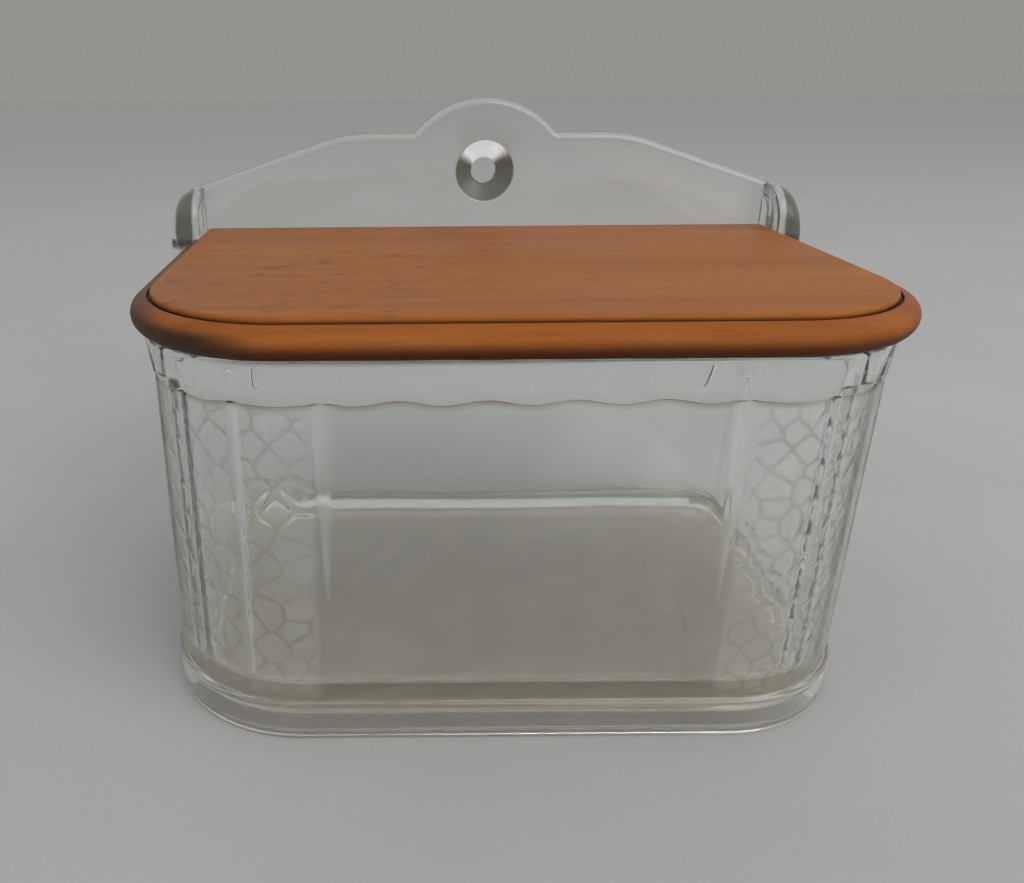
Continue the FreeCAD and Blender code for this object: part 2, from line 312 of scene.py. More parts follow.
def wall_relief(run, height, top):
    """How far the pressed pattern stands out from the plain wall, how near its seams are and how dusty it is."""
    away = np.abs(run)
    straight = POT_HALF - FRONT_R
    share = np.clip((height - PLINTH_Z) / (COLLAR_Z - PLINTH_Z), 0, 1)
    ends = ramp(height, PLINTH_Z + 0.9, PLINTH_Z + 2.6) * (1 - ramp(height, top - 1.6, top - 0.3))
    out = np.zeros_like(run)
    half = FLUTE_HALF * np.clip((share - FLUTE_END) / (1 - FLUTE_END), 0.15, 1)
    off = np.abs(away - FLUTE_X)
    out -= np.sqrt(FLUTE_R ** 2 - np.minimum(off, half) ** 2) - np.sqrt(FLUTE_R ** 2 - half ** 2)
    groove = (off < half) * ramp(share, FLUTE_END, FLUTE_END + 0.15)
    ribs = np.zeros_like(run)
    for angle in RIB_ANGLES:
        off = np.abs(away - straight - FRONT_R * math.radians(angle)) / RIB_HALF
        ribs = np.maximum(ribs, RIB_PROUD * np.sqrt(np.clip(1 - off ** 2, 0, 1)))
    last = straight + FRONT_R * math.radians(RIB_ANGLES[-1])
    panel = ramp(away, FLUTE_X + 1.6, FLUTE_X + 3.6) * (1 - ramp(away, last - 1.2, last)) * ends
    seam = np.where(run >= 0, crackle(away, height, RIGHT_CELLS, 11), crackle(away, height, LEFT_CELLS, 29))
    ridge = np.exp(-(seam / SEAM_HALF) ** 2)
    cells = CELL_DOME * (1 - np.exp(-(seam / 2.2) ** 2)) + SEAM_PROUD * ridge
    clear = 1 - np.clip(ribs / RIB_PROUD, 0, 1)
    near = np.clip(1 - seam / SEAM_REACH, 0, 1) * panel * clear
    dust = np.where(run >= 0, 0.08 + 0.22 * ramp(away, 69.0, 86.0), 0.09 + 0.22 * ramp(away, 78.0, 95.0))
    return out + np.maximum(ribs, cells * panel * clear), near, np.maximum(dust * panel, 0.1 * groove)


def pot_body():
    """Walls with their pressed pattern, plinth, hollow foot, collar, rim and chamber as one closed skin."""
    outer = plan(POT_HALF, FRONT_Y, FRONT_R, BACK_Y, REAR_R, POT_COUNTS)
    chamber = plan(POT_HALF - WALL, FRONT_Y + WALL, FRONT_R - WALL, PLATE_Y, CHAMBER_REAR_R, POT_COUNTS)
    foot_in = FOOT_WIDTH - PLINTH_PROUD
    foot = plan(POT_HALF - foot_in, FRONT_Y + foot_in, FRONT_R - foot_in, BACK_Y - FOOT_REAR, CHAMBER_REAR_R,
                POT_COUNTS)
    run = outer[:, 4]
    front_ny = np.minimum(outer[:, 3], 0.0)
    edge_z, ledge = collar_edge(run)

    def outside(grow, height):
        height = np.broadcast_to(height, run.shape)
        return np.column_stack((outer[:, 0] + grow * outer[:, 2], outer[:, 1] + grow * front_ny, height))

    def inside(draft, inset, height):
        x = chamber[:, 0] - (inset + draft) * chamber[:, 2]
        y = chamber[:, 1] - inset * chamber[:, 3] - draft * np.minimum(chamber[:, 3], 0.0)
        return np.column_stack((x, y, np.broadcast_to(height, run.shape)))

    def recess(inset, height):
        x = foot[:, 0] - inset * foot[:, 2]
        return np.column_stack((x, foot[:, 1] - inset * foot[:, 3], np.broadcast_to(height, run.shape)))

    rings = [recess(inset, height) for inset, height in
             ((5.0, FOOT_RECESS), (1.8, FOOT_RECESS), (0.95, 4.65), (0.4, 4.3), (0.2, 3.6), (0.0, 0.9),
              (-0.2, 0.3), (-0.6, 0.0))]
    rings += [outside(grow, height) for grow, height in
              ((0.2, 0.0), (0.8, 0.08), (1.2, 0.4), (1.4, 1.0), (1.4, 4.5), (1.4, 8.4), (1.28, 9.1),
               (0.95, 9.65), (0.5, 9.95), (0.18, 10.15), (0.04, 10.5))]
    nothing = np.zeros_like(run)
    grime = [nothing for _ in rings]
    seams = [nothing for _ in rings]
    haze = [nothing for _ in rings]
    scuff = [nothing + level for level in (1.0, 1.0, 0.9, 0.6, 0.3, 0.2, 0.5, 0.8, 0.8, 0.5)]
    shown = ledge / COLLAR_LEDGE * ramp(130 - np.abs(run), 0, 30)
    for step in range(WALL_RINGS):
        share = step / (WALL_RINGS - 1)
        height = 10.9 + share * (edge_z - 0.45 - 10.9)
        out, near, dust = wall_relief(run, height, edge_z)
        wobble = np.array([noise.noise((x * 0.05, y * 0.05, z * 0.045)) for x, y, z in outside(0.0, height)])
        rings.append(outside(out + 0.05 * wobble, height))
        grime.append(0.9 * shown * ramp(height, edge_z - 1.5, edge_z - 0.6))
        seams.append(near)
        haze.append(dust)
    for grow, above in ((0.05, -0.2), (0.35, -0.02), (0.75, 0.06), (0.96, 0.28), (1.0, 0.7)):
        rings.append(outside(grow * ledge, edge_z + above))
        grime.append(shown * (0.9 if above < 0.1 else 0.2))
    for share in (0.15, 0.35, 0.55, 0.75, 0.95):
        height = edge_z + 0.7 + share * (RIM_Z - 0.9 - edge_z - 0.7)
        rings.append(outside(ledge + (COLLAR_FLARE - ledge) * share ** 1.2, height))
    rings += [outside(grow, height) for grow, height in
              ((1.7, 93.1), (1.6, 93.55), (1.35, 93.85), (0.9, 94.0), (-0.2, 94.0))]
    rings += [inside(0.0, inset, height) for inset, height in
              ((-1.5, 94.0), (-0.8, 94.0), (-0.35, 93.85), (-0.1, 93.5), (0.0, 93.0))]
    for step in range(1, 15):
        share = step / 14
        height = 93.0 + share * (FLOOR_Z + 2 * FLOOR_R - 93.0)
        places = inside(WALL_DRAFT * share, 0.0, height)
        wobble = np.array([noise.noise((x * 0.04 + 7, y * 0.04, z * 0.04)) for x, y, z in places])
        wobble *= min(1, 4 * share * (1 - share))
        rings.append(inside(WALL_DRAFT * share - 0.06 * wobble, 0.0, height))
    for step in range(0, 9):
        turn = math.pi / 2 * step / 8
        rings.append(inside(WALL_DRAFT, FLOOR_R * (1 - math.cos(turn)), FLOOR_Z + FLOOR_R * (1 - math.sin(turn))))
    rings += [inside(WALL_DRAFT, inset, FLOOR_Z) for inset in (FLOOR_R + 1.2, FLOOR_R + 5.0)]
    bm = loft(rings)
    scuff += [nothing] * (len(rings) - len(scuff) - 11) + [nothing + 0.4] * 9 + [nothing + 0.25] * 2
    for name, values in (("grime", grime), ("seams", seams), ("haze", haze), ("scuff", scuff)):
        layer = bm.verts.layers.float.new(name)
        values += [nothing] * (len(rings) - len(values))
        for vert, value in zip(bm.verts, np.concatenate(values)):
            vert[layer] = value
    return bm


def arc(centre, radius, start, end, steps):
    """Points of an arc in a flat plane; angles in radians."""
    turns = np.linspace(start, end, steps + 1)
    return [(centre[0] + radius * math.cos(t), centre[1] + radius * math.sin(t)) for t in turns]


def crest_outline():
    """Outline of the back plate seen from the front, as (across, up) points, from the top of the crest clockwise."""
    lobe_z = CREST_Z - LOBE_R
    dip_x = math.sqrt((LOBE_R + DIP_R) ** 2 - (SHOULDER_Z + DIP_R - lobe_z) ** 2)
    dip_turn = math.atan2(SHOULDER_Z + DIP_R - lobe_z, dip_x)
    half = arc((0.0, lobe_z), LOBE_R, math.pi / 2, dip_turn, 18)
    half += arc((dip_x, SHOULDER_Z + DIP_R), DIP_R, math.pi + dip_turn, 1.5 * math.pi, 6)
    reach = SHOULDER_R * math.tan(SHOULDER_FALL / 2)
    half += arc((SHOULDER_X - reach, SHOULDER_Z - SHOULDER_R), SHOULDER_R, math.pi / 2,
                math.pi / 2 - SHOULDER_FALL, 8)
    corner_z = SHOULDER_Z - math.tan(SHOULDER_FALL) * (EAR_OUTER - SHOULDER_X)
    back = EAR_CORNER_R * math.tan((math.pi / 2 - SHOULDER_FALL) / 2)
    half += arc((EAR_OUTER - EAR_CORNER_R, corner_z - back), EAR_CORNER_R, math.pi / 2 - SHOULDER_FALL, 0.0, 12)
    lean = math.atan2(EAR_OUTER - WING_LOW[0], WING_Z - WING_LOW[1])
    half += arc((EAR_OUTER - WING_R, WING_Z + WING_R * math.tan(lean / 2)), WING_R, 0.0, -lean, 5)
    half += [WING_LOW]
    return np.array(half + [(-x, z) for x, z in half[:0:-1]])


def outward(outline):
    """Unit normals of a clockwise closed outline."""
    along = np.roll(outline, -1, axis=0) - np.roll(outline, 1, axis=0)
    along /= np.hypot(along[:, 0], along[:, 1])[:, None]
    return np.column_stack((-along[:, 1], along[:, 0]))


def crest_plate():
    """Back plate with its crest, rounded along the front edge and bevelled along the rear one."""
    outline = crest_outline()
    normals = outward(outline)
    front, rear = PLATE_Y + PLATE_SINK, BACK_Y - PLATE_SINK
    stations = [(PLATE_EDGE_R + 1.0, front)]
    for step in range(7):
        turn = math.pi / 2 * step / 6
        stations.append((PLATE_EDGE_R * (1 - math.sin(turn)), front + PLATE_EDGE_R * (1 - math.cos(turn))))
    stations += [(0.0, rear - PLATE_BEVEL), (0.18, rear - 0.18), (PLATE_BEVEL, rear), (PLATE_BEVEL + 1.0, rear)]
    rings = []
    for inset, y in stations:
        flat = outline - inset * normals
        rings.append(np.column_stack((flat[:, 0], np.full(len(flat), y), flat[:, 1])))
    return loft(rings)


def ear_crown(across):
    """Height of the ear's top where it follows the crest outline."""
    corner_z = SHOULDER_Z - math.tan(SHOULDER_FALL) * (EAR_OUTER - SHOULDER_X)
    back = EAR_CORNER_R * math.tan((math.pi / 2 - SHOULDER_FALL) / 2)
    turn_x = EAR_OUTER - EAR_CORNER_R + EAR_CORNER_R * math.sin(SHOULDER_FALL)
    if across <= turn_x:
        return SHOULDER_Z - math.tan(SHOULDER_FALL) * (across - SHOULDER_X)
    off = min(across - EAR_OUTER + EAR_CORNER_R, EAR_CORNER_R)
    return corner_z - back + math.sqrt(EAR_CORNER_R ** 2 - off ** 2)


def ear_lug():
    """Right ear: a rounded lug in front of the plate's end, on a corbel."""
    middle_y = (PLATE_Y + BACK_Y) / 2
    fall = math.atan2(EAR_FOOT_Z - CORBEL_Z, middle_y - EAR_FRONT_Y)
    foot_reach = EAR_FOOT_R * math.tan((math.pi / 2 - fall) / 2)
    stations = []
    for step in range(6):
        turn = math.pi / 2 * step / 5
        stations.append((EAR_INNER + EAR_EDGE_R * (1 - math.cos(turn)), EAR_EDGE_R * (1 - math.sin(turn))))
    stations += [(across, 0.0) for across in (87.6, 88.3, 89.0)]
    for step in range(9):
        turn = math.pi / 2 * step / 8
        across = EAR_OUTER - PLATE_SINK - EAR_OUTER_R * (1 - math.sin(turn))
        stations.append((across, EAR_OUTER_R * (1 - math.cos(turn))))
    rings = []
    for across, inset in stations:
        crown = ear_crown(across) - 0.02
        side = [(middle_y, crown)]
        side += arc((EAR_FRONT_Y + EAR_FRONT_R, crown - EAR_FRONT_R), EAR_FRONT_R, math.pi / 2, math.pi, 12)
        side += arc((EAR_FRONT_Y + EAR_FOOT_R, EAR_FOOT_Z + foot_reach), EAR_FOOT_R, math.pi, 1.5 * math.pi - fall, 8)
        side += [(middle_y, CORBEL_Z)]
        side = np.array(side)
        flat = side + inset * outward(side)
        flat[[0, -1], 0] = middle_y
        rings.append(np.column_stack((np.full(len(flat), across), flat[:, 0], flat[:, 1])))
    return loft(rings)


def ear_root():
    """Block that ties the right ear to the pot's wall below the rim."""
    side = np.array([(56.5, 93.4), (42.8, 93.4), (42.8, 92.7), (45.2, 90.5), (56.5, 83.2)])
    return loft([np.column_stack((np.full(len(side), across), side)) for across in (82.0, 88.0)])


def mirrored(bm):
    """Turns a right-hand shape into the left-hand one."""
    bmesh.ops.scale(bm, vec=(-1.0, 1.0, 1.0), verts=bm.verts)
    bmesh.ops.reverse_faces(bm, faces=bm.faces)
    return bm


def hanging_hole():
    """Cutter for the countersunk hole: a profile turned round the hole's axis."""
    bm = bmesh.new()
    profile = ((0.0, 52.5), (9.4, 52.5), (9.4, 54.06), (8.95, 54.14), (8.55, 54.32), (8.15, 54.62),
               (6.1, 56.0), (4.35, 57.1), (3.98, 57.4), (3.8, 57.75), (3.75, 58.2), (3.75, 61.5), (0.0, 61.5))
    ends = [bm.verts.new((radius, y, HOLE_Z)) for radius, y in profile]
    edges = [bm.edges.new(pair) for pair in zip(ends, ends[1:])]
    bmesh.ops.spin(bm, geom=ends + edges, cent=(0, 0, HOLE_Z), axis=(0, 1, 0), angle=2 * math.pi, steps=72,
                   use_merge=True)
    bmesh.ops.remove_doubles(bm, verts=bm.verts, dist=0.001)
    bmesh.ops.recalc_face_normals(bm, faces=bm.faces)
    return bm


def pin_bore():
    """Cutter for the right ear's pin hole."""
    bm = bmesh.new()
    place = Matrix.Translation((89.5, PIVOT_Y, PIVOT_Z)) @ Matrix.Rotation(math.pi / 2, 4, "Y")
    bmesh.ops.create_cone(bm, cap_ends=True, segments=32, radius1=PIN_BORE_R, radius2=PIN_BORE_R, depth=12.0,
                          matrix=place)
    return bm


def paint_pot(mesh):
    """Keeps the wall's dust masks to the wall and foot, and stores a dark film on the sides of the hole's funnel and
    painted shade in the ears.
    """
    where = np.empty(len(mesh.vertices) * 3)
    mesh.vertices.foreach_get("co", where)
    x, y, z = where.reshape(-1, 3).T
    wall = (z < RIM_Z) & (y < DUST_BACK_Y)
    marked_zone = (z < FOOT_RECESS + 0.5) | ((z > FLOOR_Z - 0.2) & (z < FLOOR_Z + FLOOR_R + 0.2) & (y < PLATE_Y))
    for name, kept in (("grime", wall), ("seams", wall), ("haze", wall), ("scuff", marked_zone)):
        layer = mesh.attributes[name]
        values = np.empty(len(mesh.vertices), dtype=np.float32)
        layer.data.foreach_get("value", values)
        layer.data.foreach_set("value", np.where(kept, values, 0.0).astype(np.float32))
    across = np.abs(x)
    pressed = ((across > POT_HALF + 1.8) | ((across > POT_HALF + 0.3) & (y > EAR_FRONT_Y))) & (z < LID_TOP - 4.5)
    haze = mesh.attributes["haze"].data
    values = np.empty(len(mesh.vertices), dtype=np.float32)
    haze.foreach_get("value", values)
    haze.foreach_set("value", np.where(pressed, 0.16, values).astype(np.float32))
    # Darker over the funnel's sides and bottom, clear at its top.
    off = np.hypot(x, z - HOLE_Z)
    funnel = (off < 8.7) & (y > 54.1) & (y < 58.3)
    from_top = np.degrees(np.arctan2(np.abs(x + 1.0), z - HOLE_Z))
    ear_shade_and_funnel_dark = np.where(funnel, ramp(from_top, 38.0, 66.0), 0.0)
    # Painted shade: a dark core in the left ear and a dark crescent in the right one, at twice full strength so the
    # glass there turns nearly black and milky.
    ear_shade_core = ramp(across, 86.2, 87.6) * (1 - ramp(across, 90.8, 92.4))
    ear_shade_crescent = ramp(across, 86.4, 89.2)
    lug = (across > EAR_INNER) & (y < PLATE_Y - 1.0) & (z > 97.0)
    ear_shade_and_funnel_dark = np.where(lug, 2.0 * np.where(x < 0, ear_shade_core, ear_shade_crescent) * ramp(z, 97.0, 101.0), ear_shade_and_funnel_dark)
    layer = mesh.attributes.new("ear_shade_and_funnel_dark", "FLOAT", "POINT")
    layer.data.foreach_set("value", ear_shade_and_funnel_dark.astype(np.float32))


def glass_pot(material):
    pot = as_object("glass_pot_pressed", pot_body())
    carve(pot, [as_object("plate", crest_plate()),
                as_object("ear_right", ear_lug()), as_object("ear_left", mirrored(ear_lug())),
                as_object("root_right", ear_root()), as_object("root_left", mirrored(ear_root()))], "UNION")
    carve(pot, [as_object("hole", hanging_hole()),
                as_object("bore_right", pin_bore()), as_object("bore_left", mirrored(pin_bore()))], "DIFFERENCE")
    paint_pot(pot.data)
    finish_piece(pot, "pressed_glass_pot", material, "pot", "glass_pot", 38)
    return pot


# Wooden lid


LID_COUNTS_CORNER = 40
LID_COUNTS_SIDE = 26
LID_REAR_STEPS = 8
LID_FRONT_STEPS = 22
LID_ROW_CUTS = 40


def lid_chain(inset, height):
    """One line round the lid's front and sides, from its left rear to its right rear, at an inset from the edge."""
    half, front, radius = LID_HALF - inset, LID_FRONT_Y + inset, LID_CORNER_R - inset
    middle = (LID_LOW + LID_TOP) / 2
    straight = half - radius
    points = [(x, front, height) for x in np.linspace(0.0, straight, LID_FRONT_STEPS)]
    for step in range(1, LID_COUNTS_CORNER + 1):
        turn = math.pi / 2 * step / LID_COUNTS_CORNER
        points.append((straight + radius * math.sin(turn), front + radius * (1 - math.cos(turn)), height))
    start = front + radius
    for step in range(1, LID_COUNTS_SIDE + 1):
        points.append((half, start + (LID_REAR_Y - start) * step / LID_COUNTS_SIDE, height))
    for step in range(1, LID_REAR_STEPS + 1):
        turn = math.pi / 2 * step / LID_REAR_STEPS
        points.append((half, LID_REAR_Y + REAR_R_LID * math.sin(turn), middle + (height - middle) * math.cos(turn)))
    return [(-x, y, z) for x, y, z in points[:0:-1]] + points


def close_across(bm, chain):
    """Closes a lid chain from side to side, in rows behind the straight front, and returns the rows' edges."""
    count = len(chain) // 2
    left, right = chain[:count + 1][::-1], chain[count:]
    first = LID_FRONT_STEPS
    bm.faces.new(left[first::-1] + right[1:first + 1])
    for step in range(first, count):
        bm.faces.new((left[step], left[step + 1], right[step + 1], right[step]))
    return [bm.edges.get(pair) for pair in zip(left[first:], right[first:])]


def notch(side):
    """Cutter that clears an ear."""
    corner = arc((NOTCH_X + NOTCH_R, NOTCH_Y + NOTCH_R), NOTCH_R, math.pi, 1.5 * math.pi, 8)
    outline = [(NOTCH_X, 60.0)] + corner + [(96.0, NOTCH_Y), (96.0, 60.0)]
    bm = loft([[(x, y, z) for x, y in outline] for z in (90.0, 108.0)])
    return bm if side > 0 else mirrored(bm)


def lid_inset(x, y):
    """Distance in from the lid's front and side edges."""
    straight, start = LID_HALF - LID_CORNER_R, LID_FRONT_Y + LID_CORNER_R
    across, ahead = np.abs(x) - straight, start - y
    corner = LID_CORNER_R - np.hypot(np.maximum(across, 0), np.maximum(ahead, 0))
    return np.where((across > 0) & (ahead > 0), corner, np.minimum(LID_CORNER_R - across, LID_CORNER_R - ahead))


def paint_lid(mesh):
    """Stores where the lid's nose, quirk, underside, stains and darker left edge are; the quirk's near-black is
    painted shade, and the dark under the nose is partly a darker finish and partly painted shade.
    """
    where = np.empty(len(mesh.vertices) * 3)
    mesh.vertices.foreach_get("co", where)
    x, y, z = where.reshape(-1, 3).T
    inset = lid_inset(x, y)
    ahead = y < LID_REAR_Y - 2
    left = ramp(-x, 52.0, 67.0) * (inset < PANEL_INSET)
    masks = {
        "nose": (1 - ramp(inset, 4.3, 4.9)) * ahead,
        # Painted shade: the quirk is painted near-black.
        "quirk_shade": np.where((inset > 3.75) & (inset < 4.7) & (z > 100.9) & (z < 101.5) & ahead, 1.0, 0.0),
        # Under the nose: partly a darker finish, partly painted shade where the bead turns down.
        "under_nose_finish_and_shade": (1 - ramp(z, 96.2, 99.2)) * (1 - ramp(inset, 3.0, 4.5)),
        "underside": (1 - ramp(z, 94.4, 94.9)) * ramp(inset, 3.0, 4.5),
        # Darker over the left part of the edge moulding: the lower nose, and the top towards the left rear.
        "dark_left_edge": left * (1 - ramp(z, 98.8, 100.8) * (1 - 0.75 * ramp(-x, 74.0, 84.0))) * ahead,
        "specks": ramp(-x, -20.0, 30.0) * (z > 102.0),
        "ring_stain": 0.65 * np.exp(-((x + 11.0) / 8.0) ** 2 - ((y - 38.0) / 9.0) ** 2) * (z > 102.0),
    }
    for name, values in masks.items():
        layer = mesh.attributes.new(name, "FLOAT", "POINT")
        layer.data.foreach_set("value", np.asarray(values, dtype=np.float32))


def wooden_lid(material):
    panel = [(3.8, 101.57), (3.9, 101.35), (4.05, 101.05), (4.3, 100.98), (4.52, 101.1), (4.6, 101.4), (4.62, 102.2),
             (4.72, 102.55), (4.95, 102.74)] + [(inset, LID_TOP) for inset in (5.3, 6.2, 9.0, 14.0, 22.0)]
    stations = [(inset, LID_LOW) for inset, _ in panel[::-1]] + [(NOSE_R, LID_LOW)]
    for step in range(1, 18):
        turn = math.pi * step / 18
        lift_z = (LID_LOW + BOARD_TOP) / 2 - NOSE_R * math.cos(turn)
        stations.append((NOSE_R * (1 - math.sin(turn)), lift_z))
    stations += [(NOSE_R, BOARD_TOP)] + panel
    bm = bmesh.new()
    chain = None
    for inset, height in stations:
        places = lid_chain(inset, height)
        if chain is None:
            chain = below = [bm.verts.new(place) for place in places]
            for pair in zip(chain, chain[1:]):
                bm.edges.new(pair)
        else:
            chain = lift(bm, chain, places, closed=False)
    rows = close_across(bm, below) + close_across(bm, chain)
    bmesh.ops.subdivide_edges(bm, edges=rows, cuts=LID_ROW_CUTS, use_grid_fill=True)
    bmesh.ops.remove_doubles(bm, verts=bm.verts, dist=0.001)
    loose = [face for face in bm.faces if face.calc_area() < 1e-7]
    bmesh.ops.delete(bm, geom=loose, context="FACES")
    bmesh.ops.remove_doubles(bm, verts=bm.verts, dist=0.001)
    bmesh.ops.recalc_face_normals(bm, faces=bm.faces)
    lid = as_object("lid_board_wood", bm)
    carve(lid, [as_object("notch_right", notch(1)), as_object("notch_left", notch(-1))], "DIFFERENCE")
    paint_lid(lid.data)
    finish_piece(lid, "wooden_lid", material, "lid", "lid_board", 40)
    return lid


# Materials


class Recipe:
    """A node material in the making: one Principled surface, its fields read from Object coordinates."""

    def __init__(self, name, **constants):
        self.material = bpy.data.materials.new(name)
        self.material.use_nodes = True
        self.tree = self.material.node_tree
        self.tree.nodes.clear()
        self.place = self.add("ShaderNodeTexCoord").outputs["Object"]
        self.surface = self.add("ShaderNodeBsdfPrincipled")
        self.out = self.add("ShaderNodeOutputMaterial")
        self.tree.links.new(self.surface.outputs["BSDF"], self.out.inputs["Surface"])
        for key, value in constants.items():
            self.surface.inputs[key.replace("_", " ")].default_value = value

    def add(self, kind, **settings):
        node = self.tree.nodes.new(kind)
        for key, value in settings.items():
            setattr(node, key, value)
        return node

    def feed(self, socket, value):
        """Links a socket to another one, or sets its constant."""
        if isinstance(value, bpy.types.NodeSocket):
            self.tree.links.new(value, socket)
        else:
            socket.default_value = value + (1.0,) if isinstance(value, tuple) else value

    def shade(self, **fields):
        for key, value in fields.items():
            self.feed(self.surface.inputs[key.replace("_", " ")], value)

    def noise(self, stretch, detail, rough, distortion=0.0):
        """A noise field; stretch is in cycles to the metre along each axis."""
        turn = self.add("ShaderNodeMapping")
        turn.inputs["Scale"].default_value = stretch
        self.feed(turn.inputs["Vector"], self.place)
        field = self.add("ShaderNodeTexNoise")
        for key, value in (("Scale", 1.0), ("Detail", detail), ("Roughness", rough), ("Distortion", distortion)):
            field.inputs[key].default_value = value
        self.feed(field.inputs["Vector"], turn.outputs["Vector"])
        return field.outputs["Fac"]

    def spread(self, value, low, high, to_low=0.0, to_high=1.0):
        step = self.add("ShaderNodeMapRange")
        for key, number in (("From Min", low), ("From Max", high), ("To Min", to_low), ("To Max", to_high)):
            step.inputs[key].default_value = number
        self.feed(step.inputs["Value"], value)
        return step.outputs["Result"]

    def maths(self, operation, first, second):
        step = self.add("ShaderNodeMath", operation=operation, use_clamp=True)
        self.feed(step.inputs[0], first)
        self.feed(step.inputs[1], second)
        return step.outputs["Value"]

    def mix(self, factor, under, over):
        step = self.add("ShaderNodeMix", data_type="RGBA")
        self.feed(step.inputs["Factor"], factor)
        self.feed(step.inputs["A"], under)
        self.feed(step.inputs["B"], over)
        return step.outputs["Result"]

    def mask(self, name):
        return self.add("ShaderNodeAttribute", attribute_name=name).outputs["Fac"]


def pressed_glass():
    """Clear glass with a faint green body: a thin film all over, dust on the relief, brown seams, a dark film on the
    funnel's sides and painted shade in the ears.
    """
    glass = Recipe("pressed_glass", IOR=1.5)
    grime, haze, ear_shade_and_funnel_dark, scuff = (glass.mask(name) for name in ("grime", "haze", "ear_shade_and_funnel_dark", "scuff"))
    seam = glass.spread(glass.mask("seams"), 0.62, 0.95)
    patches = glass.noise((42.0, 42.0, 42.0), 4.0, 0.6)
    film = glass.noise((95.0, 95.0, 95.0), 3.0, 0.5)
    stain = glass.maths("MULTIPLY", grime, glass.spread(patches, 0.38, 0.62, 0.5, 1.0))
    streaks = glass.maths("MULTIPLY", seam, glass.spread(patches, 0.38, 0.68, 0.10, 0.62))
    dust = glass.mix(glass.spread(haze, 0.15, 0.32), (0.86, 0.87, 0.80), (0.44, 0.42, 0.33))
    colour = glass.mix(glass.spread(haze, 0.0, 0.4), (0.995, 1.0, 0.997), dust)
    colour = glass.mix(glass.maths("MULTIPLY", scuff, 0.9), colour, (0.92, 0.78, 0.60))
    brown = glass.mix(glass.spread(patches, 0.55, 0.70), (0.30, 0.265, 0.18), (0.36, 0.21, 0.10))
    colour = glass.mix(streaks, colour, brown)
    colour = glass.mix(stain, colour, (0.42, 0.26, 0.15))
    # Painted shade in the ears, and the funnel's dark sides: nearly black, milky and rougher.
    colour = glass.mix(ear_shade_and_funnel_dark, colour, (0.10, 0.105, 0.08))
    veil = glass.maths("MULTIPLY", haze, glass.spread(film, 0.35, 0.65, 0.7, 1.0))
    veil = glass.maths("ADD", veil, glass.spread(film, 0.3, 0.7, 0.012, 0.032))
    veil = glass.maths("ADD", veil, glass.maths("MULTIPLY", ear_shade_and_funnel_dark, 0.35))
    veil = glass.maths("ADD", veil, glass.maths("MULTIPLY", scuff, glass.spread(film, 0.35, 0.65, 0.50, 0.56)))
    rough = glass.maths("MULTIPLY", glass.maths("ADD", glass.maths("ADD", stain, streaks), ear_shade_and_funnel_dark), 0.28)
    rough = glass.maths("ADD", rough, glass.spread(haze, 0.0, 0.15, 0.0, 0.12))
    rough = glass.maths("ADD", rough, glass.spread(film, 0.45, 0.8, 0.004, 0.05))
    glass.shade(Base_Color=colour, Transmission_Weight=glass.maths("SUBTRACT", 1.0, veil), Roughness=rough)
    body = glass.add("ShaderNodeVolumeAbsorption")
    body.inputs["Color"].default_value = (0.60, 0.86, 0.70, 1.0)
    body.inputs["Density"].default_value = 7.0
    glass.feed(glass.out.inputs["Volume"], body.outputs["Volume"])
    return glass.material


